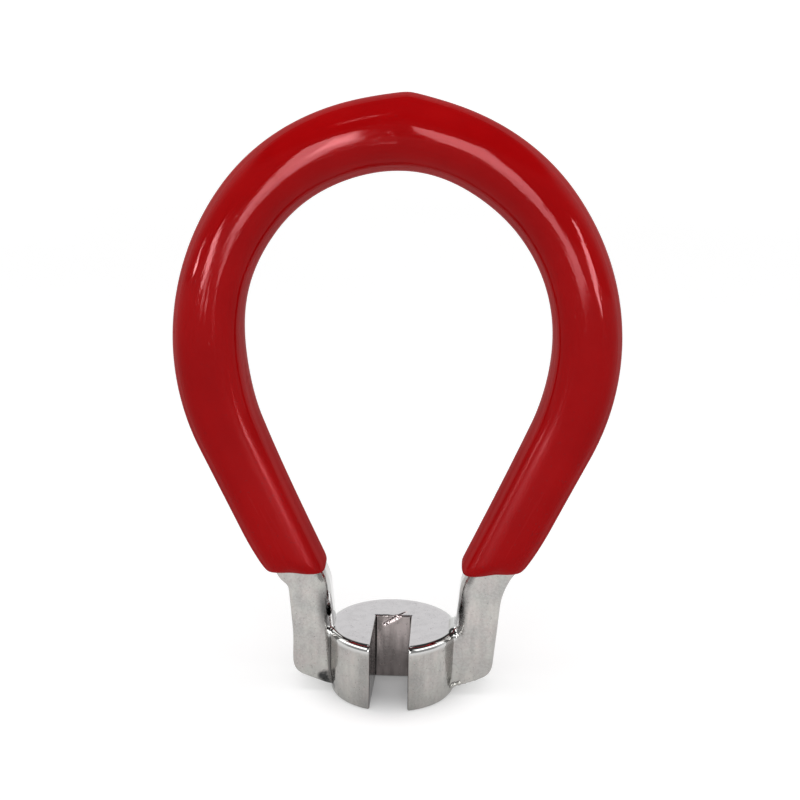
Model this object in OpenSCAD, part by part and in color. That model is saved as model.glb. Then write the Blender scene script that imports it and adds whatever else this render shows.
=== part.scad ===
// Spoke wrench: a one-piece plated steel body with a dipped vinyl grip on its loop.
// Millimetres. The origin is on the nipple's axis, level with the underside of the head.
// +Z runs up the nipple's axis to the top of the loop, and the slot opens towards -Y.

/* [Head] */
// Width of the slot that grips the nipple's flats
slot_w = 3.45; // [2.6:0.05:4.6]
// Diameter of the round head
head_d = 12.8; // [11:0.1:15]
// Thickness of the head
head_h = 6.6; // [5:0.1:9]
// Radius of the rounded top edge of the head
head_edge_r = 0.9; // [0.3:0.1:1.6]

/* [Legs] */
// Width of a leg, seen from the front
leg_w = 4.2; // [3.4:0.1:5]
// Depth of a leg, from front to back
leg_depth = 4.6; // [3.6:0.1:5.4]
// Diameter of the round corners that the flats of a leg leave standing
leg_round_d = 5.4; // [5:0.1:6.5]
// Distance from the head's axis to a leg's axis at the foot
foot_x = 7.65; // [7:0.05:8.4]
// Height of the point where a leg's axis starts, in its foot
foot_z = 2.6; // [2:0.1:4]
// Drop from that point to the foot's underside
foot_drop = 1.1; // [0.6:0.05:1.8]
// Slope of the foot's underside, down towards the head
foot_slope = 20; // [5:1:30]
// Radius of the foot's outer corner
foot_corner_r = 1.8; // [0.8:0.1:2.5]
// Radius of the bend between a leg and its arm, at the middle of the bar
kink_r = 2.7; // [2.6:0.1:5]

/* [Loop] */
// Height of the bar's middle at the top of the loop
loop_top = 55.2; // [48:0.1:64]
// Radius of the bend over the top, at the middle of the bar
top_bend_r = 17; // [14:0.1:20]
// Turn of that bend, from the top to each side
top_bend_turn = 53.5; // [40:0.5:65]
// Radius of the wider bend down each side
side_bend_r = 22; // [18:0.1:26]
// Slope of a straight arm, from upright
arm_slope = 26.4; // [20:0.1:30]
// Length of a straight arm, from the side bend to the kink
arm_len = 16.4; // [12:0.1:20]
// Diameter of the bar inside the grip
bar_d = 4.1; // [3.4:0.1:5]

/* [Grip] */
// Diameter of the coat around the bends
grip_d = 6.4; // [5.6:0.1:8]
// Diameter of the coat at its lower lips
lip_d = 5.8; // [5.4:0.1:7.5]
// Height of the dip line, where the coat ends on both arms
lip_z = 12.6; // [11.5:0.1:16]
// Distance that the coat hangs off the bar's middle at its lips, to the outer side
lip_shift = 0.35; // [0:0.05:0.5]
// Radius of the long taper on the outer side of a lip
lip_toe_r = 6.2; // [4:0.1:8]
// Height of the drip nub over the top of the coat
drip_h = 0.6; // [0.2:0.05:1]
// Diameter of the drip nub's two ridges
drip_d = 4.4; // [3:0.1:5]
// Slope of those ridges
drip_slope = 16; // [12:1:20]

/* [Hidden] */
$fn = 96;

steel_colour = [0.76, 0.77, 0.75];
vinyl_colour = [0.68, 0.06, 0.08];

// Cuts run this far past the faces that they open
overrun = 2;
// A rounding cut stands this far inside the side that it runs out on
rounding_bite = 0.08;
// The flat-sided start of an arm ends this far up inside the coat
flats_in_coat = 3;
// Each run of bar enters the next one by this lap, and is slimmer than it by this step all round
seam_lap = 0.3;
seam_step = 0.03;

// Head
head_r = head_d / 2;
slot_back = slot_w / 2;

// Loop, as points on the bar's middle line in the XZ plane, right half
top_c = [0, loop_top - top_bend_r];
side_c = top_c + (top_bend_r - side_bend_r) * [sin(top_bend_turn), cos(top_bend_turn)];
arm_top = side_c + side_bend_r * [cos(arm_slope), -sin(arm_slope)];
arm_dir = [sin(arm_slope), cos(arm_slope)];
kink = arm_top - arm_len * arm_dir;
bar_r = bar_d / 2;

// Leg, from the foot to the kink
foot = [foot_x, foot_z];
leg_slope = atan2(kink[0] - foot[0], kink[1] - foot[1]);
leg_dir = [sin(leg_slope), cos(leg_slope)];
kink_turn = arm_slope - leg_slope;
kink_run = kink_r * tan(kink_turn / 2);
leg_end = kink - kink_run * leg_dir;
arm_end = kink + kink_run * arm_dir;
kink_c = leg_end + kink_r * [cos(leg_slope), -sin(leg_slope)];

// Foot, cut from the lower end of the leg's bar
foot_base = [foot_x, foot_z - foot_drop];
leg_outer = leg_w / 2 / cos(leg_slope);
foot_tan = tan(foot_slope);
leg_tan = tan(leg_slope);
// The underside runs up and out to the leg's outer side
foot_corner_x = (leg_outer - foot_drop * leg_tan) / (1 - foot_tan * leg_tan);
foot_corner = foot_base + foot_corner_x * [1, foot_tan];
foot_corner_turn = 90 - foot_slope - leg_slope;
foot_corner_run = (foot_corner_r - rounding_bite) * tan(foot_corner_turn / 2);

// Grip
grip_r = grip_d / 2;
lip_r = lip_d / 2;
bar_at_lip = kink + (lip_z - kink[1]) / arm_dir[1] * arm_dir;
lip_mid = bar_at_lip + [lip_shift, 0];
coat_run = arm_top - lip_mid;
coat_slope = atan2(coat_run[0], coat_run[1]);
coat_dir = [sin(coat_slope), cos(coat_slope)];
lip_half = lip_r / cos(coat_slope);
// The coat's cone runs on below the dip line before it is cut there
lip_run = lip_half + overrun;
flats_top = bar_at_lip + flats_in_coat * arm_dir;
// Height of the taper's centre over the dip line, as a share of its radius
lip_toe_rise_share = 0.84;
lip_toe_z = lip_toe_r * lip_toe_rise_share;
lip_toe_c = [
    lip_mid[0] + lip_half + lip_toe_z * tan(coat_slope) - (lip_toe_r - rounding_bite) / cos(coat_slope),
    lip_z + lip_toe_z
];
// The taper's circle lies nearest to the coat's side at this height
lip_toe_top = lip_toe_c[1] - lip_toe_r * sin(coat_slope);
drip_r = drip_d / 2;
drip_top = loop_top + grip_r + drip_h;
// A ridge ends where it lies deepest under the coat's own top
drip_len = (top_bend_r + grip_r) * tan(drip_slope);

// Turn of a bend that makes up one lap
function lap_angle(radius) = seam_lap / radius * 180 / PI;

// Runs its children along the middle line of a straight bar, between two points in the XZ plane
module straight(from, to) {
    run = to - from;
    translate([from[0], 0, from[1]])
        rotate([0, atan2(run[0], run[1]), 0])
            linear_extrude(norm(run)) children();
}

// Runs its children around a bend in the XZ plane, with angles from +X towards +Z
module bend(centre, radius, from_angle, turn) {
    translate([centre[0], 0, centre[1]])
        rotate([90, 0, 0])
            rotate_extrude(angle = turn, start = from_angle)
                translate([radius, 0]) children();
}

// Draws its flat children in the XZ plane and gives them a depth in Y
module across(depth) {
    translate([0, depth / 2, 0])
        rotate([90, 0, 0])
            linear_extrude(depth) children();
}

module both_sides() {
    children();
    mirror([1, 0, 0]) children();
}

// Section of a leg: a round bar pressed flat on four sides, made slimmer all round by a step
module leg_section(step = 0) {
    intersection() {
        circle(d = leg_round_d - 2 * step);
        square([leg_w - 2 * step, leg_depth - 2 * step], center = true);
    }
}

// Bends of the loop, over the top and down both sides, as a round bar of this radius
module loop_bends(round_r) {
    bend(top_c, top_bend_r, 90 - top_bend_turn, 2 * top_bend_turn) circle(r = round_r);
    both_sides()
        bend(side_c, side_bend_r, -arm_slope, 90 - top_bend_turn + arm_slope + lap_angle(side_bend_r))
            circle(r = round_r - seam_step);
}

module head_disc() {
    rotate_extrude() {
        square([head_r, head_h - head_edge_r]);
        square([head_r - head_edge_r, head_h]);
        translate([head_r - head_edge_r, head_h - head_edge_r]) circle(r = head_edge_r);
    }
}

module nipple_slot() {
    translate([-slot_w / 2, slot_back - head_d, -overrun])
        cube([slot_w, head_d, head_h + 2 * overrun]);
}

// Everything below the foot's sloping underside, and outside its rounded outer corner
module foot_cut() {
    across(leg_depth + 2 * overrun) {
        polygon([
            foot_base - head_d * [1, foot_tan],
            foot_base + head_d * [1, foot_tan],
            foot_base + head_d * [1, -1],
            foot_base - head_d * [1, 1]
        ]);
        difference() {
            polygon([
                foot_corner - foot_corner_run * [cos(foot_slope), sin(foot_slope)],
                foot_corner + foot_corner_r * [1, -1],
                foot_corner + foot_corner_run * leg_dir
            ]);
            translate(foot_corner
                - foot_corner_run * [cos(foot_slope), sin(foot_slope)]
                + foot_corner_r * [-sin(foot_slope), cos(foot_slope)])
                circle(r = foot_corner_r);
        }
    }
}

// One leg with its foot, the kink and the flat-sided start of its arm
module leg() {
    difference() {
        straight(foot - foot_z * leg_dir, leg_end) leg_section();
        foot_cut();
    }
    bend(kink_c, kink_r, 180 - arm_slope - lap_angle(kink_r), kink_turn + 2 * lap_angle(kink_r))
        leg_section(seam_step);
    straight(arm_end, flats_top) leg_section();
}

module steel_shape() {
    loop_bends(bar_r);
    both_sides() {
        straight(flats_top - seam_lap * arm_dir, arm_top + seam_lap * arm_dir)
            circle(r = bar_r - 2 * seam_step);
        leg();
    }
    difference() {
        head_disc();
        nipple_slot();
    }
}

// The coat of one arm, before its lip is cut
module arm_coat() {
    start = arm_top + seam_lap * coat_dir;
    start_r = grip_r - 2 * seam_step;
    lip_taper = (start_r - lip_r) / norm(start - lip_mid);
    run = norm(start - lip_mid) + lip_run;
    translate([start[0], 0, start[1]])
        rotate([0, 180 + coat_slope, 0])
            cylinder(h = run, r1 = start_r, r2 = start_r - lip_taper * run);
}

// Everything below the dip line, and outside the taper of the lip's outer side
module lip_cut() {
    reach = lip_toe_r + 2 * lip_half;
    across(2 * grip_d)
        translate([lip_mid[0] - reach, lip_z - reach])
            square([2 * reach, reach]);
    across(2 * grip_d)
        difference() {
            translate([lip_toe_c[0], lip_z - reach])
                square([reach, reach + lip_toe_top - lip_z]);
            translate(lip_toe_c) circle(r = lip_toe_r);
        }
}

// The nub that the coat leaves as it drips off the top of the loop: two ridges and a round tip
module drip_nub() {
    translate([0, 0, drip_top - drip_r]) {
        sphere(r = drip_r);
        both_sides()
            rotate([0, 90 + drip_slope, 0])
                cylinder(h = drip_len, r = drip_r - seam_step);
    }
}

module steel_body() {
    color(steel_colour) steel_shape();
}

module vinyl_grip() {
    color(vinyl_colour)
        difference() {
            union() {
                loop_bends(grip_r);
                both_sides()
                    difference() {
                        arm_coat();
                        lip_cut();
                    }
                drip_nub();
            }
            steel_shape();
        }
}

steel_body();
vinyl_grip();
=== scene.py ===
"""Spoke wrench: a cast and plated steel body with a dipped vinyl grip, on a plain pale floor.

Metres, +Z up, with the origin on the nipple's axis at the underside of the head and the slot open to -Y.
Sizes below are written in millimetres and turned into metres where a mesh is made.
"""
import itertools
import math

import bmesh
import bpy
import numpy as np
from mathutils import Matrix, Vector


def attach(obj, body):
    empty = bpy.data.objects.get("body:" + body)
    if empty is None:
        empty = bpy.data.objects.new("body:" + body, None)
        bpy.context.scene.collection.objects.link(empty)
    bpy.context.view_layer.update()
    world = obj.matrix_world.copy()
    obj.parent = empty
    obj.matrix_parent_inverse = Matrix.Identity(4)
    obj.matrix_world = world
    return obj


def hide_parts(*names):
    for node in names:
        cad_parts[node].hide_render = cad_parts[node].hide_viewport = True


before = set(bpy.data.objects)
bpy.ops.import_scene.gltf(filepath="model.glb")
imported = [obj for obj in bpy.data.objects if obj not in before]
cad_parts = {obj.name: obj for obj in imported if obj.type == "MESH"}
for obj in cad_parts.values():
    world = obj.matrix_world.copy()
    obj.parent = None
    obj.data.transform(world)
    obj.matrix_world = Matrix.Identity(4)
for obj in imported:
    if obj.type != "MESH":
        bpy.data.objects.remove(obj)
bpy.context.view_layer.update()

MM = 0.001

# Head
SLOT_W = 3.45
HEAD_R = 6.4
HEAD_H = 6.6
HEAD_TOP_EDGE_R = 0.7
HEAD_FOOT_EDGE_R = 0.16
HEAD_DRAFT = 0.065
HEAD_DRAFT_Z = 3.0
SLOT_EDGE_R = 0.2
SLOT_BACK = SLOT_W / 2
SLOT_FLARE = 0.24

# Legs: a bar pressed flat on its front, back and sides
LEG_W = 4.2
LEG_DEPTH = 4.6
LEG_INNER_EDGE_R = 1.35
LEG_OUTER_EDGE_R = 0.45
FOOT_X = 7.65
FOOT_Z = 2.6
FOOT_DROP = 1.2
FOOT_SLOPE = math.radians(20)
FOOT_CORNER_R = 1.3
FOOT_EDGE_R = 0.3
KINK_R = 2.7
FACE_CROWN = 0.07
LEDGE_SLOPE = math.radians(40)
LEDGE_EDGE_R = 0.2
LEDGE_CORNER_R = 0.2

# Each leg as it came out of the mould: what its sides stand out by, how its top flares out,
# and the corner of its ledge
LEFT_LEG = {
    "inner": 0.25,
    "foot": -0.12,
    "shank": -0.40,
    "flare": 0.012,
    "arm": -0.2,
    "corner": (10.13, 11.0),
}
RIGHT_LEG = {
    "inner": -0.2,
    "foot": 0.06,
    "shank": 0.08,
    "flare": 0.08,
    "arm": 0.08,
    "corner": (11.2, 12.3),
}
FLARE_Z = 9.3

# Fillets and edges between the parts of the casting
RIGHT_FILLET_R = 0.9
LEFT_FILLET_R = 0.12
FLASH_FILLET_R = 0.1
PIT_EDGE_R = 0.06
CHIP_EDGE_R = 0.03

# Marks of casting and use, as strokes: both ends, radius and raggedness
GOUGE = ((-0.8, 1.6, 5.7), (0.5, 1.66, 6.5), 0.19, 0.14)
GOUGE_TAIL = ((0.5, 1.8, 6.57), (1.2, 2.7, 6.66), 0.09, 0.2)
BURR = ((-0.9, 1.74, 6.5), (0.1, 1.76, 6.56), 0.07, 0.3)
PIT_LOW = ((-6.1, -2.55, 0.85), (-6.55, -2.5, 1.6), 0.3, 0.3)
PIT_HIGH = ((-6.75, -2.5, 1.75), (-6.3, -2.55, 2.0), 0.2, 0.3)
FLASH = ((6.0, -2.2, 1.02), (8.5, -2.15, 1.9), 0.14, 0.3)

# Loop, on the middle of the bar
LOOP_TOP = 55.2
TOP_BEND_R = 17
TOP_BEND_TURN = math.radians(53.5)
SIDE_BEND_R = 22
ARM_SLOPE = math.radians(26.4)
ARM_LEN = 16.4
BAR_R = 2.05

# Grip
GRIP_TOP_R = 3.255
GRIP_LIP_R = 3.0
LEFT_LIP = {"height": 12.5, "tilt": 0.0, "toe": 0.45}
RIGHT_LIP = {"height": 12.8, "tilt": 0.24, "toe": 0.75}
COAT_SLOPE = math.radians(25.1)
DRIP_H = 0.58
DRIP_X = 0.7


def smoothstep(low, high, value):
    share = np.clip((value - low) / (high - low), 0, 1)
    return share * share * (3 - 2 * share)


def mix(low, high, share):
    return low + (high - low) * share


# Shape of the loop

TOP_C = np.array([0.0, LOOP_TOP - TOP_BEND_R])
SIDE_C = TOP_C + (TOP_BEND_R - SIDE_BEND_R) * np.array([math.sin(TOP_BEND_TURN), math.cos(TOP_BEND_TURN)])
TOP_ARC = TOP_BEND_R * TOP_BEND_TURN


def loop_run(run, slope):
    """Point and direction on the middle line, this far from the top on the right, for this arm slope."""
    side_turn = math.pi / 2 + slope - TOP_BEND_TURN
    side_arc = SIDE_BEND_R * side_turn
    if run <= TOP_ARC:
        turn = run / TOP_BEND_R
        point = TOP_C + TOP_BEND_R * np.array([math.sin(turn), math.cos(turn)])
        return point, np.array([math.cos(turn), -math.sin(turn)])
    turn = TOP_BEND_TURN + min(run - TOP_ARC, side_arc) / SIDE_BEND_R
    point = SIDE_C + SIDE_BEND_R * np.array([math.sin(turn), math.cos(turn)])
    along = np.array([math.cos(turn), -math.sin(turn)])
    return point + max(run - TOP_ARC - side_arc, 0) * along, along


def arm_start(slope):
    """How far from the top a straight arm of this slope starts."""
    return TOP_ARC + SIDE_BEND_R * (math.pi / 2 + slope - TOP_BEND_TURN)


def run_at_height(height, slope):
    """How far from the top an arm of this slope comes down to this height."""
    start, along = loop_run(arm_start(slope), slope)
    return arm_start(slope) + (start[1] - height) / -along[1]


ARM_TOP, ARM_DOWN = loop_run(arm_start(ARM_SLOPE), ARM_SLOPE)
KINK = ARM_TOP + ARM_LEN * ARM_DOWN
FOOT = np.array([FOOT_X, FOOT_Z])
LEG_UP = (KINK - FOOT) / np.linalg.norm(KINK - FOOT)
KINK_TURN = math.acos(float(-ARM_DOWN @ LEG_UP))
KINK_C = KINK - KINK_R * math.tan(KINK_TURN / 2) * LEG_UP + KINK_R * np.array([LEG_UP[1], -LEG_UP[0]])


# Meshes

def new_piece(name, points, faces, material):
    """A smooth piece from points in millimetres."""
    mesh = bpy.data.meshes.new(name)
    mesh.from_pydata([tuple(p) for p in np.asarray(points) * MM], [], faces)
    mesh.validate()
    mesh.shade_smooth()
    mesh.materials.append(material)
    piece = bpy.data.objects.new(name, mesh)
    bpy.context.scene.collection.objects.link(piece)
    return piece


def ring_faces(rings, sides, closed):
    """Quads between rings of as many points each. A closed run joins the last ring to the first."""
    faces = []
    for ring in range(rings if closed else rings - 1):
        low = ring * sides
        high = (ring + 1) % rings * sides
        for side in range(sides):
            following = (side + 1) % sides
            faces.append((low + side, low + following, high + following, high + side))
    return faces


# Grip: a dipped coat, swept along the loop

GRIP_SIDES = 72
COAT_INNER_R = 1.9
# A lip rounds in over its toe: short on the inner side, and long and deep on the outer side
LIP_TOE_H = 0.9
LIP_SOFT_H = 4.4
LIP_SOFT_IN = 1.1
LIP_WRAP = 1.5
LIP_CORNER = 0.6
LIP_INSIDE_RISE = 1.7
NEAR_TOP = 6
NEAR_TOP_RINGS = 41
SIDE_RINGS = 91
LIP_RINGS = 25
HIDDEN_RINGS = 60
DRIP_FOOT_W = 4.8
DRIP_TIP_W = 1.3
DRIP_TIP_R = 0.7
DRIP_FOOT_WRAP = 1.6
DRIP_TIP_WRAP = 4.0
# Places where the dip left the coat thicker: how far from the top (left is below zero), how long,
# and how much inside and outside
COAT_SWELLS = (
    (-6, 7, 0.24, 0.04),
    (-16, 8, 0.2, 0.08),
    (-33.5, 8.5, 0.64, 0.0),
    (11, 7, 0.33, 0.0),
    (28, 10, 0.0, 0.14),
    (35, 8, 0.3, 0.0),
)
COAT_ROUND_TO = 12
COAT_SQUARE_FROM = 34
COAT_SQUARE_POWER = 3.0


def drip_rise(across, outer_share):
    """Height of the drip nub over the coat, this far across the top. Its crest is on the outer side."""
    off = across - DRIP_X
    broad = math.exp(-(abs(off) / DRIP_FOOT_W) ** 1.5)
    narrow = math.exp((DRIP_TIP_R - math.hypot(off, DRIP_TIP_R)) / DRIP_TIP_W)
    return DRIP_H / 2 * (broad * outer_share ** DRIP_FOOT_WRAP + narrow * outer_share ** DRIP_TIP_WRAP)


def coat_section(turn, square):
    """Radius of the coat's section at each turn, as a share of its half width. Square 0 is round."""
    power = mix(2.0, COAT_SQUARE_POWER, square)
    return (np.abs(np.cos(turn)) ** power + np.abs(np.sin(turn)) ** power) ** (-1 / power)


def coat_ring(run, side, rise=None):
    """One ring of the coat. A lip ring is also given its height over the dip line."""
    turn = np.linspace(0, 2 * math.pi, GRIP_SIDES, endpoint=False)
    point, along = loop_run(run, COAT_SLOPE)
    inward = np.array([along[1], -along[0]])
    outer_share = (1 - np.cos(turn)) / 2
    lip = LEFT_LIP if side < 0 else RIGHT_LIP
    radius = mix(GRIP_TOP_R, GRIP_LIP_R, min(run / run_at_height(lip["height"], COAT_SLOPE), 1))
    square = smoothstep(COAT_ROUND_TO, COAT_SQUARE_FROM, run)
    radius = radius * coat_section(turn, square) + drip_rise(side * run, outer_share)
    for centre, length, inside, outside in COAT_SWELLS:
        height = math.exp(-((side * run - centre) / length) ** 2)
        radius = radius + height * (inside * (1 - outer_share) ** 3 + outside * outer_share ** 3)
    if rise is not None:
        toe_h = mix(LIP_TOE_H, LIP_SOFT_H, outer_share ** LIP_WRAP)
        toe_in = mix(lip["toe"], LIP_SOFT_IN, outer_share) * (1 - LIP_CORNER * np.sin(2 * turn) ** 2)
        left = np.clip(1 - rise / toe_h, 0, 1)
        radius = radius - toe_in * (1 - np.sqrt(1 - left * left))
    across = radius * np.cos(turn)
    offset = across[:, None] * inward
    level = smoothstep(arm_start(COAT_SLOPE), run_at_height(lip["height"] + LIP_SOFT_H, COAT_SLOPE), run)
    slide = level * (1 + lip["tilt"]) * offset[:, 1] / math.cos(COAT_SLOPE)
    flat = point + offset + slide[:, None] * along
    return np.stack([side * flat[:, 0], radius * np.sin(turn), flat[:, 1]], 1)


def bar_ring(run, side, radius, slope, sides=GRIP_SIDES):
    """One ring of a round bar around the middle line."""
    turn = np.linspace(0, 2 * math.pi, sides, endpoint=False)
    point, along = loop_run(run, slope)
    inward = np.array([along[1], -along[0]])
    flat = point + radius * np.cos(turn)[:, None] * inward
    return np.stack([side * flat[:, 0], radius * np.sin(turn), flat[:, 1]], 1)


def half_coat(side):
    """Rings of one half of the coat's outside, from the top down to the dip line."""
    lip_z = (LEFT_LIP if side < 0 else RIGHT_LIP)["height"]
    lip_run = run_at_height(lip_z, COAT_SLOPE)
    soft_run = run_at_height(lip_z + LIP_SOFT_H, COAT_SLOPE)
    near_top = np.linspace(0, NEAR_TOP, NEAR_TOP_RINGS)[1:]
    runs = np.concatenate([near_top, np.linspace(NEAR_TOP, soft_run, SIDE_RINGS)[1:]])
    rings = [coat_ring(run, side) for run in runs]
    for share in np.linspace(1, 0, LIP_RINGS)[1:]:
        rise = LIP_SOFT_H * share * share
        rings.append(coat_ring(lip_run - rise / math.cos(COAT_SLOPE), side, rise))
    return rings


def mark(piece, name, values):
    """Keeps a number or a vector for each point of a piece, for its material."""
    kind, field = ("FLOAT", "value") if values.ndim == 1 else ("FLOAT_VECTOR", "vector")
    layer = piece.data.attributes.new(name, kind, "POINT")
    layer.data.foreach_set(field, values.astype(np.float32).ravel())


def make_grip(material):
    right = half_coat(1)
    left = half_coat(-1)
    outside = left[::-1] + [coat_ring(0, 1)] + right
    hidden_foot = run_at_height(RIGHT_LIP["height"] + LIP_INSIDE_RISE, COAT_SLOPE)
    hidden_runs = np.linspace(hidden_foot, 0, HIDDEN_RINGS)
    inside = [bar_ring(run, 1, COAT_INNER_R, COAT_SLOPE) for run in hidden_runs]
    inside += [bar_ring(run, -1, COAT_INNER_R, COAT_SLOPE) for run in hidden_runs[::-1][1:]]
    rings = outside + inside
    faces = ring_faces(len(rings), GRIP_SIDES, closed=True)
    points = np.concatenate(rings)
    piece = new_piece("dipped_grip", points, faces, material)
    middle = np.array([ring.mean(0) for ring in rings])
    step = np.linalg.norm(np.diff(middle, axis=0), axis=1)
    along = np.repeat(np.concatenate([[0], np.cumsum(step)]), GRIP_SIDES)
    turn = np.tile(np.linspace(0, 2 * math.pi, GRIP_SIDES, endpoint=False), len(rings))
    mark(piece, "grain", np.stack([along, GRIP_TOP_R * np.cos(turn), GRIP_TOP_R * np.sin(turn)], 1))
    return piece


# Steel body: distances to its surfaces, in millimetres, blended where the casting has fillets

def both(first, second, radius):
    """Overlap of two shapes, with the edge between them rounded."""
    outside = np.hypot(np.maximum(first + radius, 0), np.maximum(second + radius, 0))
    return np.minimum(-radius, np.maximum(first, second)) + outside


def joined(first, second, radius):
    """Two shapes as one, with a fillet of this radius in the corner between them."""
    inside = np.hypot(np.maximum(radius - first, 0), np.maximum(radius - second, 0))
    return np.maximum(radius, np.minimum(first, second)) - inside


def head_distance(x, y, z):
    """The round head, drawn in at its sides towards the underside."""
    drawn_in = 1 + HEAD_DRAFT * smoothstep(HEAD_DRAFT_Z, 0, z)
    side = np.hypot(x * drawn_in, y) - HEAD_R
    upper = both(side, z - HEAD_H, HEAD_TOP_EDGE_R)
    return both(upper, -z, HEAD_FOOT_EDGE_R)


def cheek_distance(x, y):
    """Distance out from the nearer side wall of the slot. The left one flares towards the front."""
    flare = SLOT_FLARE * (SLOT_BACK - y) / (SLOT_BACK + HEAD_R)
    return np.maximum(x, -x - flare) - SLOT_W / 2


def slot_distance(x, y):
    """Distance out from the slot, which runs through the whole height of the head."""
    return np.maximum(cheek_distance(x, y), y - SLOT_BACK)


def leg_out(x, z):
    """Distance out from the bent middle line of a leg and its arm, for the right side."""
    leg = (x - FOOT[0]) * LEG_UP[1] - (z - FOOT[1]) * LEG_UP[0]
    arm = (x - KINK[0]) * -ARM_DOWN[1] + (z - KINK[1]) * ARM_DOWN[0]
    past_leg = (x - KINK_C[0]) * LEG_UP[0] + (z - KINK_C[1]) * LEG_UP[1]
    past_arm = (x - KINK_C[0]) * -ARM_DOWN[0] + (z - KINK_C[1]) * -ARM_DOWN[1]
    bend = KINK_R - np.hypot(x - KINK_C[0], z - KINK_C[1])
    straight = np.where(past_leg < 0, leg, arm)
    return np.where((past_leg >= 0) & (past_arm < 0) & (x < KINK_C[0]), bend, straight)


def leg_distance(x, y, z, leg):
    """One leg with its foot, kink and arm, for the right side."""
    out = leg_out(x, z)
    depth = np.abs(y) - LEG_DEPTH / 2 + FACE_CROWN * (2 * out / LEG_W) ** 2
    shank = (x - FOOT[0]) * LEG_UP[1] - (z - FOOT[1]) * LEG_UP[0]
    shank = shank - LEG_W / 2 - mix(leg["foot"], leg["shank"], smoothstep(FOOT_Z, KINK[1] - LEG_W, z))
    shank = shank - leg["flare"] * np.maximum(z - FLARE_Z, 0) ** 2
    arm = (x - KINK[0]) * -ARM_DOWN[1] + (z - KINK[1]) * ARM_DOWN[0] - LEG_W / 2 - leg["arm"]
    corner_x, corner_z = leg["corner"]
    ledge = (x - corner_x) * math.sin(LEDGE_SLOPE) - (z - corner_z) * math.cos(LEDGE_SLOPE)
    outer = joined(shank, both(arm, ledge, LEDGE_EDGE_R), LEDGE_CORNER_R)
    inner = both(-out - LEG_W / 2 - leg["inner"], depth, LEG_INNER_EDGE_R)
    bar = np.maximum(inner, both(outer, depth, LEG_OUTER_EDGE_R))
    under = (x - FOOT_X) * math.sin(FOOT_SLOPE) - (z - FOOT_Z + FOOT_DROP) * math.cos(FOOT_SLOPE)
    return both(bar, both(under, outer - FOOT_EDGE_R, FOOT_CORNER_R), FOOT_EDGE_R)


def stroke_distance(p, start, end, radius, roughness):
    """A short round stroke between two points, as ragged as a scratch or a casting flash."""
    run = np.array(end) - np.array(start)
    share = np.clip(((p - start) @ run) / (run @ run), 0, 1)
    waves = np.sin(31 * share) + 0.7 * np.sin(67 * share + 1) + 0.5 * np.sin(113 * share + 2)
    return np.linalg.norm(p - start - share[..., None] * run, axis=-1) - radius * (1 + roughness * waves)


def chip_distance(p):
    """Gouge over the top edge of the slot's back wall, with its tail on the top face."""
    return np.minimum(stroke_distance(p, *GOUGE), stroke_distance(p, *GOUGE_TAIL))


def pit_distance(p):
    """Rough pit in the casting, where the left foot meets the head."""
    return np.minimum(stroke_distance(p, *PIT_LOW), stroke_distance(p, *PIT_HIGH))


def steel_distance(p):
    """The whole casting below the loop, with its marks."""
    x, y, z = p[..., 0], p[..., 1], p[..., 2]
    right = leg_distance(x, y, z, RIGHT_LEG)
    left = leg_distance(-x, y, z, LEFT_LEG)
    head = head_distance(x, y, z)
    solid = joined(head, right, RIGHT_FILLET_R)
    solid = joined(solid, stroke_distance(p, *FLASH), FLASH_FILLET_R)
    solid = joined(solid, left, LEFT_FILLET_R)
    solid = both(solid, -pit_distance(p), PIT_EDGE_R)
    solid = both(solid, -slot_distance(x, y), SLOT_EDGE_R)
    solid = np.minimum(solid, stroke_distance(p, *BURR))
    return both(solid, -chip_distance(p), CHIP_EDGE_R)


def net_surface(distance, low, high, cell):
    """Quads on the surface where a distance is zero, one point in each cell that it crosses."""
    counts = np.ceil((high - low) / cell).astype(int) + 1
    axes = [low[i] + cell * np.arange(counts[i]) for i in range(3)]
    field = np.empty(counts)
    for i, x in enumerate(axes[0]):
        y, z = np.meshgrid(axes[1], axes[2], indexing="ij")
        field[i] = distance(np.stack([np.full_like(y, x), y, z], -1))
    cells = counts - 1
    total = np.zeros(tuple(cells) + (3,))
    hits = np.zeros(tuple(cells))

    def corner(offset):
        return field[tuple(slice(o, o + n) for o, n in zip(offset, cells))]

    for axis in range(3):
        step = np.eye(3, dtype=int)[axis]
        for offset in itertools.product((0, 1), repeat=3):
            if offset[axis]:
                continue
            first = corner(offset)
            second = corner(tuple(np.array(offset) + step))
            crosses = (first < 0) != (second < 0)
            share = first[crosses] / (first[crosses] - second[crosses])
            total[crosses] += np.array(offset) + share[:, None] * step
            hits[crosses] += 1
    used = hits > 0
    index = np.full(tuple(cells), -1)
    index[used] = np.arange(used.sum())
    points = low + cell * (np.argwhere(used) + total[used] / hits[used][:, None])
    faces = []
    for axis in range(3):
        other = [a for a in range(3) if a != axis]
        first = field[tuple(slice(0, -1) if a == axis else slice(1, -1) for a in range(3))] < 0
        second = field[tuple(slice(1, None) if a == axis else slice(1, -1) for a in range(3))] < 0
        for flip in (False, True):
            at = np.argwhere(first & ~second if not flip else ~first & second)
            at[:, other] += 1
            quad = []
            for a, b in ((1, 1), (0, 1), (0, 0), (1, 0)):
                cell_at = at.copy()
                cell_at[:, other[0]] -= a
                cell_at[:, other[1]] -= b
                quad.append(index[tuple(cell_at.T)])
            quad = np.stack(quad, 1)
            turned = flip != (axis == 1)
            faces.append(quad[:, ::-1] if turned else quad)
    return points, np.concatenate(faces)


def slope_of(distance, points, reach):
    """How fast a distance grows along each axis."""
    grad = np.empty_like(points)
    for axis in range(3):
        step = np.zeros(3)
        step[axis] = reach
        grad[:, axis] = distance(points + step) - distance(points - step)
    return grad / (2 * reach)


SETTLE_ROUNDS = 4
FLATTEST_SLOPE = 0.05


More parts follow.
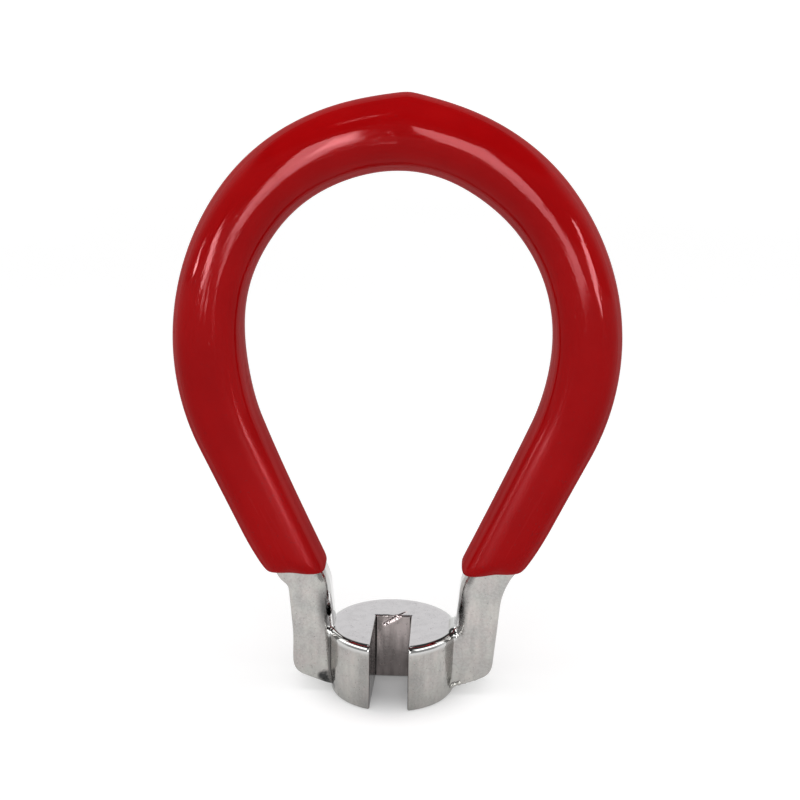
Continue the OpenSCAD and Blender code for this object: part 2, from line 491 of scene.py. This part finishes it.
def settle(distance, points, cell):
    """Moves points onto the surface."""
    for _ in range(SETTLE_ROUNDS):
        grad = slope_of(distance, points, cell / 10)
        square = np.maximum((grad * grad).sum(1), FLATTEST_SLOPE)
        move = distance(points)[:, None] * grad / square[:, None]
        points = points - np.clip(move, -cell / 2, cell / 2)
    return points


def bend_of(distance, points, reach):
    """How sharply the surface bends at each point: above zero on an edge, below zero in a corner."""
    total = -6 * distance(points)
    for axis in range(3):
        step = np.zeros(3)
        step[axis] = reach
        total += distance(points + step) + distance(points - step)
    return total / reach ** 2


# How far off a surface each mark starts to fade, and where it ends
WALL_FADE = (0.03, 0.12)
TOP_FADE = (0.02, 0.08)
SCUFF_FADE = (0.03, 0.13)
PIT_SHADE_FADE = (0.05, 0.4)
BEAD_FADE = (-0.1, 0.25)
BEAD_OUT_FADE = (-0.35, -0.1)
TOP_RIM_FADE = (0, 0.2)
# Painted shade on the legs' inner sides and beside the slot: how it fades and where it sits
PAINTED_SHADE_FADE = 0.9
PAINTED_SHADE_IN = -0.7
PAINTED_SHADE_Z = 8.8
PAINTED_SHADE_H = 2.0
SLOT_PAINTED_SHADE = 0.35
SLOT_PAINTED_SHADE_FADE = (0.2, 2.2)
SLOT_PAINTED_SHADE_DOWN = (0.6, 1.6)


def slot_share(points):
    """One on the slot's walls, and zero elsewhere."""
    off_wall = np.abs(slot_distance(points[:, 0], points[:, 1]))
    return 1 - smoothstep(*WALL_FADE, off_wall)


def cheek_share(points):
    """One on the slot's two side walls."""
    off_cheek = np.abs(cheek_distance(points[:, 0], points[:, 1]))
    return (1 - smoothstep(*WALL_FADE, off_cheek)) * slot_share(points)


def bead_share(points):
    """One on the rounded top edge of the head."""
    in_from_side = HEAD_R - np.hypot(points[:, 0], points[:, 1])
    down_from_top = HEAD_H - points[:, 2]
    start, end = HEAD_TOP_EDGE_R + BEAD_FADE[0], HEAD_TOP_EDGE_R + BEAD_FADE[1]
    near_edge = 1 - smoothstep(start, end, np.maximum(in_from_side, down_from_top))
    return near_edge * smoothstep(*BEAD_OUT_FADE, in_from_side) * (1 - slot_share(points))


def top_share(points):
    """One on the flat top of the head."""
    off_top = np.abs(points[:, 2] - HEAD_H)
    out = np.hypot(points[:, 0], points[:, 1]) - HEAD_R + HEAD_TOP_EDGE_R
    return (1 - smoothstep(*TOP_FADE, off_top)) * (1 - smoothstep(*TOP_RIM_FADE, out))


def painted_shade_share(points):
    """Painted shade: one on the inner sides of the legs, and less of it on the head's sides beside the
    slot.
    """
    out = leg_out(np.abs(points[:, 0]), points[:, 2])
    inner = 1 - smoothstep(PAINTED_SHADE_IN - PAINTED_SHADE_FADE, PAINTED_SHADE_IN, out)
    inner = inner * np.exp(-((points[:, 2] - PAINTED_SHADE_Z) / PAINTED_SHADE_H) ** 2)
    off_slot = slot_distance(points[:, 0], points[:, 1])
    start, end = HEAD_H - SLOT_PAINTED_SHADE_DOWN[0], HEAD_H - SLOT_PAINTED_SHADE_DOWN[1]
    beside = (1 - smoothstep(*SLOT_PAINTED_SHADE_FADE, off_slot)) * smoothstep(start, end, points[:, 2])
    return np.maximum(inner, SLOT_PAINTED_SHADE * beside)


def scuff_share(points):
    """One in the gouge, fading out beside it."""
    return 1 - smoothstep(*SCUFF_FADE, np.abs(chip_distance(points)))


def pit_shade_share(points):
    """Painted shade in the pit: one there, fading out around it."""
    return 1 - smoothstep(*PIT_SHADE_FADE, np.abs(pit_distance(points)))


EDGE_REACH = 0.2
STEEL_CELL = 0.11
STEEL_CUT_Z = 15.5
STEEL_LOW = np.array([-13.2, -6.7, -0.25])
STEEL_HIGH = np.array([13.2, 6.7, STEEL_CUT_Z])
BAR_SIDES = 48
BAR_RINGS = 60


def make_steel(material):
    """The casting below the cut, bridged to the round bar that runs on inside the coat."""
    points, faces = net_surface(steel_distance, STEEL_LOW, STEEL_HIGH, STEEL_CELL)
    points = settle(steel_distance, points, STEEL_CELL)
    points[:, 2] = np.maximum(points[:, 2], 0)
    runs = np.linspace(run_at_height(STEEL_CUT_Z + 1, ARM_SLOPE), 0, BAR_RINGS)
    rings = [bar_ring(run, 1, BAR_R, ARM_SLOPE, BAR_SIDES) for run in runs]
    rings += [bar_ring(run, -1, BAR_R, ARM_SLOPE, BAR_SIDES) for run in runs[::-1][1:]]
    loop_faces = np.array(ring_faces(len(rings), BAR_SIDES, closed=False)) + len(points)
    every = [tuple(int(i) for i in face) for face in np.concatenate([faces, loop_faces])]
    piece = new_piece("steel_casting", np.concatenate([points] + rings), every, material)
    shape = bmesh.new()
    shape.from_mesh(piece.data)
    for side in (1, -1):
        rim = [e for e in shape.edges if e.is_boundary and e.verts[0].co.x * side > 0]
        bmesh.ops.bridge_loops(shape, edges=rim)
    bmesh.ops.recalc_face_normals(shape, faces=shape.faces)
    shape.to_mesh(piece.data)
    shape.free()
    piece.data.shade_smooth()
    spare = np.zeros(len(piece.data.vertices) - len(points))
    marks = {
        "bend": bend_of(steel_distance, points, EDGE_REACH),
        "machined": slot_share(points),
        "cheek": cheek_share(points),
        "bead": bead_share(points),
        "scuff": scuff_share(points),
        "pit": pit_shade_share(points),
        "top": top_share(points),
        "painted_shade": painted_shade_share(points),
    }
    for name, values in marks.items():
        mark(piece, name, np.concatenate([values, spare]))
    return piece


# Shader nodes

def add(tree, kind, sockets=None, **settings):
    """One shader node, with its sockets linked or set."""
    node = tree.nodes.new("ShaderNode" + kind)
    for name, value in settings.items():
        setattr(node, name, value)
    for key, value in (sockets or {}).items():
        if isinstance(value, bpy.types.NodeSocket):
            tree.links.new(value, node.inputs[key])
        else:
            node.inputs[key].default_value = value
    return node


def maths(tree, operation, first, second):
    return add(tree, "Math", {0: first, 1: second}, operation=operation).outputs[0]


def ramp(tree, value, low, high, at_low=0.0, at_high=1.0):
    """A soft step from one number to another, as a value goes from low to high."""
    sockets = {"Value": value, "From Min": low, "From Max": high, "To Min": at_low, "To Max": at_high}
    return add(tree, "MapRange", sockets, interpolation_type="SMOOTHSTEP").outputs["Result"]


def tint(tree, share, low, high, blend="MIX"):
    """A colour between two, or a colour with another blended over it."""
    node = add(tree, "Mix", data_type="RGBA", blend_type=blend)
    for socket, value in zip((node.inputs["Factor"], node.inputs[6], node.inputs[7]), (share, low, high)):
        if isinstance(value, bpy.types.NodeSocket):
            tree.links.new(value, socket)
        else:
            socket.default_value = value
    return node.outputs[2]


def shader_material(name):
    material = bpy.data.materials.new(name)
    material.use_nodes = True
    tree = material.node_tree
    return material, tree, tree.nodes["Principled BSDF"]


def in_mm(tree):
    """Place on the object, in millimetres."""
    place = add(tree, "TexCoord").outputs["Object"]
    return add(tree, "VectorMath", {0: place, "Scale": 1000.0}, operation="SCALE").outputs[0]


def effect_group(name, numbers):
    """An empty node group with a vector and numbers in, and a mask out."""
    group = bpy.data.node_groups.new(name, "ShaderNodeTree")
    group.interface.new_socket("Vector", in_out="INPUT", socket_type="NodeSocketVector")
    for label, value in numbers.items():
        socket = group.interface.new_socket(label, in_out="INPUT", socket_type="NodeSocketFloat")
        socket.default_value = value
    group.interface.new_socket("Mask", in_out="OUTPUT", socket_type="NodeSocketFloat")
    inside = group.nodes.new("NodeGroupInput").outputs
    outside = group.nodes.new("NodeGroupOutput").inputs
    return group, inside, outside


def make_cloud_group():
    """Soft drifts of tone."""
    group, inside, outside = effect_group("cloud", {"Scale": 0.2, "Contrast": 1.5})
    noise = add(group, "TexNoise", {"Vector": inside["Vector"], "Scale": inside["Scale"], "Detail": 3.0})
    half = maths(group, "DIVIDE", 0.5, inside["Contrast"])
    low = maths(group, "SUBTRACT", 0.5, half)
    high = maths(group, "ADD", 0.5, half)
    group.links.new(ramp(group, noise.outputs["Fac"], low, high), outside["Mask"])
    return group


def make_speck_group():
    """Small scattered specks, with soft edges."""
    group, inside, outside = effect_group("specks", {"Scale": 4.0, "Amount": 0.3})
    noise = add(group, "TexNoise", {"Vector": inside["Vector"], "Scale": inside["Scale"], "Detail": 2.0})
    low = maths(group, "SUBTRACT", 0.8, maths(group, "MULTIPLY", inside["Amount"], 0.4))
    high = maths(group, "ADD", low, 0.08)
    group.links.new(ramp(group, noise.outputs["Fac"], low, high), outside["Mask"])
    return group


def make_line_group():
    """Fine lines drawn along the vector's first axis."""
    group, inside, outside = effect_group("drawn_lines", {"Scale": 4.0, "Stretch": 12.0})
    parts = add(group, "SeparateXYZ", {0: inside["Vector"]}).outputs
    along = maths(group, "DIVIDE", parts[0], inside["Stretch"])
    drawn = add(group, "CombineXYZ", {0: along, 1: parts[1], 2: parts[2]}).outputs[0]
    noise = add(group, "TexNoise", {"Vector": drawn, "Scale": inside["Scale"], "Detail": 2.0})
    group.links.new(ramp(group, noise.outputs["Fac"], 0.3, 0.7), outside["Mask"])
    return group


cloud = make_cloud_group()
specks = make_speck_group()
drawn_lines = make_line_group()


def effect(tree, group, vector, **numbers):
    sockets = {"Vector": vector}
    sockets.update({label.capitalize(): value for label, value in numbers.items()})
    return add(tree, "Group", sockets, node_tree=group).outputs["Mask"]


def bumped(tree, shader, height, depth_mm):
    """Feeds a mask to the shader as relief of this depth."""
    bump = add(tree, "Bump", {"Height": height, "Strength": 1.0, "Distance": depth_mm * MM})
    tree.links.new(bump.outputs["Normal"], shader.inputs["Normal"])


# Materials

VINYL_DEEP = (0.38, 0.002, 0.003, 1)
VINYL_BRIGHT = (0.45, 0.003, 0.004, 1)
VINYL_DUSTY = (0.24, 0.006, 0.009, 1)
VINYL_MIRROR = (1.0, 0.42, 0.45, 1)
VINYL_GLOSS = 0.14
VINYL_ROUGHNESS = 0.05
VINYL_RELIEF = 0.009
GLOSSY_ABOVE = 36.0
DULL_BELOW = 20.0

PLATE_GREY = (0.35, 0.355, 0.345, 1)
PLATE_PALE = (0.52, 0.525, 0.485, 1)
PLATE_WARM = (0.50, 0.43, 0.42, 1)
PLATE_LINED = (0.34, 0.33, 0.32, 1)
PLATE_PITTED = (0.26, 0.25, 0.24, 1)
PLATE_FROSTED = (0.62, 0.62, 0.60, 1)
# Colour of the painted shade low down, near the floor
PLATE_LOW_SHADE = (0.27, 0.27, 0.25, 1)
# Colour of the painted shade in creases and concave corners
PLATE_CREASE_SHADE = (0.14, 0.135, 0.13, 1)
# Colour of the painted shade on the legs' inner sides and beside the slot
PLATE_PAINTED_SHADE = (0.07, 0.07, 0.07, 1)
PLATE_BEAD = (0.58, 0.58, 0.57, 1)
PLATE_TOP = (0.615, 0.60, 0.61, 1)
# Colour of the painted shade in the pit
PIT_PAINTED_SHADE = (0.05, 0.05, 0.05, 1)
BROACHED_PALE = (0.36, 0.32, 0.313, 1)
BROACHED_DARK = (0.22, 0.195, 0.19, 1)
# Colour of the painted shade on the slot's side walls
CHEEK_SHADE = (0.075, 0.07, 0.068, 1)
SCUFFED = (0.70, 0.60, 0.60, 1)
PLATE_ROUGHNESS = 0.14
PLATE_RELIEF = 0.016
PLATE_MARKS = ("bend", "machined", "cheek", "bead", "scuff", "pit", "top", "painted_shade")


def scaled(tree, mask, share):
    return maths(tree, "MULTIPLY", mask, share)


def added(tree, first, second):
    return maths(tree, "ADD", first, second)


def make_red_vinyl():
    """Dipped vinyl: glossy around the bends and duller on the arms, with faint runs along the dip."""
    material, tree, shader = shader_material("red_vinyl")
    place = in_mm(tree)
    grain = add(tree, "Attribute", attribute_name="grain").outputs["Vector"]
    drift = effect(tree, cloud, place, scale=0.16, contrast=1.6)
    runs = effect(tree, drawn_lines, grain, scale=2.2, stretch=16.0)
    dust = effect(tree, specks, place, scale=2.6, amount=0.42)
    height = add(tree, "SeparateXYZ", {0: place}).outputs[2]
    dull = ramp(tree, height, GLOSSY_ABOVE, DULL_BELOW)
    colour = tint(tree, drift, VINYL_DEEP, VINYL_BRIGHT)
    worn = scaled(tree, dust, added(tree, scaled(tree, dull, 0.35), 0.12))
    colour = tint(tree, worn, colour, VINYL_DUSTY)
    tree.links.new(colour, shader.inputs["Base Color"])
    rough = added(tree, scaled(tree, runs, 0.03), scaled(tree, dull, 0.2))
    rough = added(tree, rough, scaled(tree, dust, 0.08))
    glance = ramp(tree, add(tree, "LayerWeight", {"Blend": 0.5}).outputs["Facing"], 0.3, 0.7)
    rough = added(tree, rough, scaled(tree, glance, 0.5))
    tree.links.new(added(tree, rough, VINYL_ROUGHNESS), shader.inputs["Roughness"])
    relief = added(tree, scaled(tree, runs, 0.6), scaled(tree, dust, 0.25))
    bumped(tree, shader, relief, VINYL_RELIEF)
    shader.inputs["Specular IOR Level"].default_value = VINYL_GLOSS
    shader.inputs["Specular Tint"].default_value = VINYL_MIRROR
    return material


def make_plated_steel():
    """Satin plate: polished edges, streaked and pitted faces, and darker where the slot was cut. Shade is
    painted on as well: in creases, low down, in the pit, on the slot's side walls and on the legs' inner
    sides.
    """
    material, tree, shader = shader_material("plated_steel")
    place = in_mm(tree)
    parts = add(tree, "SeparateXYZ", {0: place}).outputs
    upright = add(tree, "CombineXYZ", {0: parts[2], 1: parts[0], 2: parts[1]}).outputs[0]
    mark_at = {}
    for name in PLATE_MARKS:
        mark_at[name] = add(tree, "Attribute", attribute_name=name).outputs["Fac"]
    # Painted shade in the concave corners and creases of the casting
    crease_shade = ramp(tree, mark_at["bend"], -1.2, -3.0)
    drift = effect(tree, cloud, place, scale=0.4, contrast=2.6)
    warm = effect(tree, cloud, upright, scale=0.6, contrast=1.6)
    lines = effect(tree, drawn_lines, upright, scale=1.3, stretch=5.0)
    pits = effect(tree, specks, place, scale=3.4, amount=0.45)
    dents = effect(tree, cloud, place, scale=0.9, contrast=1.2)
    frost = effect(tree, cloud, place, scale=5.0, contrast=2.2)
    # Painted shade: the casting darker towards the floor
    low_shade = ramp(tree, parts[2], 8.0, 1.0)
    colour = tint(tree, drift, PLATE_GREY, PLATE_PALE)
    colour = tint(tree, scaled(tree, warm, 0.75), colour, PLATE_WARM)
    colour = tint(tree, scaled(tree, lines, 0.6), colour, PLATE_LINED)
    colour = tint(tree, scaled(tree, pits, 0.5), colour, PLATE_PITTED)
    colour = tint(tree, scaled(tree, frost, 0.3), colour, PLATE_FROSTED)
    colour = tint(tree, scaled(tree, low_shade, 0.28), colour, PLATE_LOW_SHADE)
    colour = tint(tree, crease_shade, colour, PLATE_CREASE_SHADE)
    # Painted shade on the inner sides of the legs and beside the slot
    colour = tint(tree, scaled(tree, mark_at["painted_shade"], 0.85), colour, PLATE_PAINTED_SHADE)
    colour = tint(tree, mark_at["bead"], colour, PLATE_BEAD)
    colour = tint(tree, mark_at["top"], colour, PLATE_TOP)
    # The pit painted dark, as painted shade
    colour = tint(tree, mark_at["pit"], colour, PIT_PAINTED_SHADE)
    broached_and_shade = tint(tree, lines, BROACHED_PALE, BROACHED_DARK)
    # Painted shade on the slot's side walls, over the broached finish
    broached_and_shade = tint(tree, mark_at["cheek"], broached_and_shade, CHEEK_SHADE)
    colour = tint(tree, mark_at["machined"], colour, broached_and_shade)
    colour = tint(tree, mark_at["scuff"], colour, SCUFFED)
    tree.links.new(colour, shader.inputs["Base Color"])
    satin = added(tree, scaled(tree, lines, 0.1), scaled(tree, pits, 0.12))
    satin = added(tree, satin, PLATE_ROUGHNESS)
    polish = maths(tree, "SUBTRACT", 1.0, scaled(tree, mark_at["bead"], 0.8))
    tree.links.new(scaled(tree, satin, polish), shader.inputs["Roughness"])
    relief = added(tree, scaled(tree, lines, 0.35), scaled(tree, pits, -0.2))
    flatness = maths(tree, "SUBTRACT", polish, scaled(tree, mark_at["top"], 0.75))
    relief = scaled(tree, added(tree, relief, dents), flatness)
    bumped(tree, shader, relief, PLATE_RELIEF)
    shader.inputs["Metallic"].default_value = 1.0
    return material


casting = make_steel(make_plated_steel())
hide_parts("steel_body")
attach(casting, "root")

grip = make_grip(make_red_vinyl())
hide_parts("vinyl_grip")
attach(grip, "root")


# Stage

FLOOR_REACH = 3.0
FLOOR_DROP = 0.00003
FLOOR_GLOW = 0.6
# Glow of the floor under the head, a painted shadow in the slot
FLOOR_GLOW_IN_SHADOW = 0.1
FLOOR_GLOW_FAR = 0.25
FLOOR_PALE = (0.62, 0.62, 0.62, 1)
FLOOR_GREY = (0.58, 0.58, 0.58, 1)
FLOOR_ROUGHNESS = 0.9
# Where the painted shadow under the head fades out, in millimetres from the nipple's axis
SHADOW_UNDER_HEAD = (2.0, 10.5)
FAR_OFF = (120.0, 500.0)
WHITE = (1, 1, 1, 1)


def make_white_floor():
    """Matt white floor. Seen straight or mirrored it is white, and it keeps the object's shadow. Under
    the head its glow is turned down, a painted shadow seen through the slot.
    """
    material, tree, shader = shader_material("white_floor")
    place = in_mm(tree)
    drift = effect(tree, cloud, place, scale=0.01, contrast=1.2)
    tree.links.new(tint(tree, drift, FLOOR_GREY, FLOOR_PALE), shader.inputs["Base Color"])
    shader.inputs["Roughness"].default_value = FLOOR_ROUGHNESS
    shader.inputs["Specular IOR Level"].default_value = 0.0
    path = add(tree, "LightPath").outputs
    seen = maths(tree, "MAXIMUM", path["Is Camera Ray"], path["Is Glossy Ray"])
    seen = maths(tree, "MAXIMUM", seen, path["Is Transmission Ray"])
    out = add(tree, "VectorMath", {0: place}, operation="LENGTH").outputs["Value"]
    # Painted shadow: the floor's glow turned down under the head
    shadow_under_head = ramp(tree, out, *SHADOW_UNDER_HEAD, FLOOR_GLOW_IN_SHADOW, FLOOR_GLOW)
    far_off = ramp(tree, out, *FAR_OFF, 0.0, FLOOR_GLOW_FAR)
    glow = maths(tree, "MULTIPLY", seen, maths(tree, "ADD", shadow_under_head, far_off))
    shader.inputs["Emission Color"].default_value = WHITE
    tree.links.new(glow, shader.inputs["Emission Strength"])
    return material


def make_floor():
    mesh = bpy.data.meshes.new("floor")
    corners = [(-1, -1), (1, -1), (1, 1), (-1, 1)]
    mesh.from_pydata([(FLOOR_REACH * x, FLOOR_REACH * y, 0) for x, y in corners], [], [(0, 1, 2, 3)])
    mesh.materials.append(make_white_floor())
    floor = bpy.data.objects.new("floor", mesh)
    floor.location.z = -FLOOR_DROP
    bpy.context.scene.collection.objects.link(floor)


make_floor()

AIM = Vector((0, 0, 0.035))


def only(piece):
    """A group of one piece, for lamps that are mirrored in that piece alone."""
    group = bpy.data.collections.new("only_" + piece.name)
    group.objects.link(piece)
    return group


on_steel = only(casting)
on_grip = only(grip)


def lamp(name, start, end, width, level, mirrored_in=None, flat=False):
    """A flat lamp between two points in millimetres, turned to the middle of the loop, or lying flat.

    A lamp that is mirrored in one piece shows there alone. The others light every surface softly,
    with no mirror image.
    """
    start = Vector(start) * MM
    end = Vector(end) * MM
    run = end - start
    data = bpy.data.lights.new(name, "AREA")
    data.shape = "RECTANGLE"
    data.size = width * MM
    data.size_y = run.length
    data.energy = level * data.size * data.size_y * math.pi
    along = run.normalized()
    away = Vector((0, 0, -1)) if flat else (start + end) / 2 - AIM
    away = (away - away.dot(along) * along).normalized()
    placed = bpy.data.objects.new(name, data)
    turn = Matrix((along.cross(away), along, away)).transposed().to_4x4()
    placed.matrix_world = Matrix.Translation((start + end) / 2) @ turn
    placed.visible_camera = False
    placed.visible_glossy = mirrored_in is not None
    placed.visible_diffuse = mirrored_in is None
    if mirrored_in is not None:
        placed.light_linking.receiver_collection = mirrored_in
    bpy.context.scene.collection.objects.link(placed)


lamp("overhead", (0, -330, 600), (0, 130, 600), 500, 2.4)
lamp("front_fill", (-200, -500, 330), (200, -500, 330), 400, 2.2)
lamp("left_panel", (-46, -190, 30), (-72, -190, 142), 46, 23, on_grip)
lamp("left_panel_foot", (-34, -190, 3), (-43, -190, 31), 28, 23, on_grip)
lamp("left_panel_core", (-38, -190, 55), (-56, -190, 120), 18, 22, on_grip)
lamp("left_card", (-34, -190, 3), (-16, -139, 3), 14, 17, on_grip, flat=True)
lamp("left_strip", (-86, -190, 3), (-172, -190, 65), 11, 40, on_grip)
lamp("left_strip_card", (-76, -185, 3), (-50, -140, 3), 7, 18, on_grip, flat=True)
lamp("left_far_strip", (-300, -190, 38), (-520, -190, 136), 16, 60, on_grip)
lamp("left_high_strip", (-172, -174, 381), (-82, -174, 381), 10, 14, on_grip)
lamp("right_panel", (44, -190, 46), (50, -190, 140), 56, 22, on_grip)
lamp("right_panel_foot", (36, -190, 4), (46, -190, 45), 40, 17, on_grip)
lamp("right_card", (42, -190, 3), (16, -138, 3), 11, 17, on_grip, flat=True)
lamp("right_strip", (122, -190, 6), (345, -190, 168), 24, 38, on_grip)
lamp("left_band", (-200, -190, 230), (-560, 310, 230), 130, 2.2, on_steel)
lamp("right_band", (200, -190, 230), (560, 310, 230), 130, 2.2, on_steel)
lamp("top_card", (0, 20, 600), (0, 260, 600), 260, 1.0, on_steel)
lamp("left_window", (-60, -190, 30), (-64, -190, 200), 54, 5, on_steel)
lamp("right_window", (50, -190, 30), (50, -190, 150), 50, 5, on_steel)

WORLD_FRONT_LEVEL = 0.4
WORLD_BACK_LEVEL = 0.95
WORLD_HIGH_LEVEL = 0.06
WORLD_SIDES = (-0.3, 0.3)
WORLD_RISE = (0.5, 0.64)


def make_world():
    """White low behind the object, and grey in front and overhead."""
    world = bpy.data.worlds.new("studio")
    bpy.context.scene.world = world
    world.use_nodes = True
    tree = world.node_tree
    aim = add(tree, "SeparateXYZ", {0: add(tree, "TexCoord").outputs["Generated"]}).outputs
    low = ramp(tree, aim[1], *WORLD_SIDES, WORLD_FRONT_LEVEL, WORLD_BACK_LEVEL)
    level = ramp(tree, aim[2], *WORLD_RISE, low, WORLD_HIGH_LEVEL)
    tree.links.new(level, tree.nodes["Background"].inputs["Strength"])
    tree.nodes["Background"].inputs["Color"].default_value = WHITE


make_world()


# Camera: a little above the loop's middle, and a little to the right

VIEW_PITCH = 0.3123
VIEW_YAW = -0.0367
VIEW_ROLL = -0.0129
VIEW_FROM = (7.762, -200, 94.203)
VIEW_PIXELS = 2211.453
FRAME_W = 800
SENSOR_W = 36
CLIP_START = 0.01

data = bpy.data.cameras.new("camera")
data.sensor_width = SENSOR_W
data.lens = SENSOR_W * VIEW_PIXELS / FRAME_W
data.clip_start = CLIP_START
camera = bpy.data.objects.new("camera", data)
ahead = Vector((
    math.sin(VIEW_YAW) * math.cos(VIEW_PITCH),
    math.cos(VIEW_YAW) * math.cos(VIEW_PITCH),
    -math.sin(VIEW_PITCH),
))
level_right = Vector((math.cos(VIEW_YAW), -math.sin(VIEW_YAW), 0))
level_down = ahead.cross(level_right)
right = math.cos(VIEW_ROLL) * level_right + math.sin(VIEW_ROLL) * level_down
down = -math.sin(VIEW_ROLL) * level_right + math.cos(VIEW_ROLL) * level_down
turned = Matrix((right, -down, -ahead)).transposed().to_4x4()
camera.matrix_world = Matrix.Translation(Vector(VIEW_FROM) * MM) @ turned
bpy.context.scene.collection.objects.link(camera)
bpy.context.scene.camera = camera
bpy.context.scene.view_settings.view_transform = "Standard"
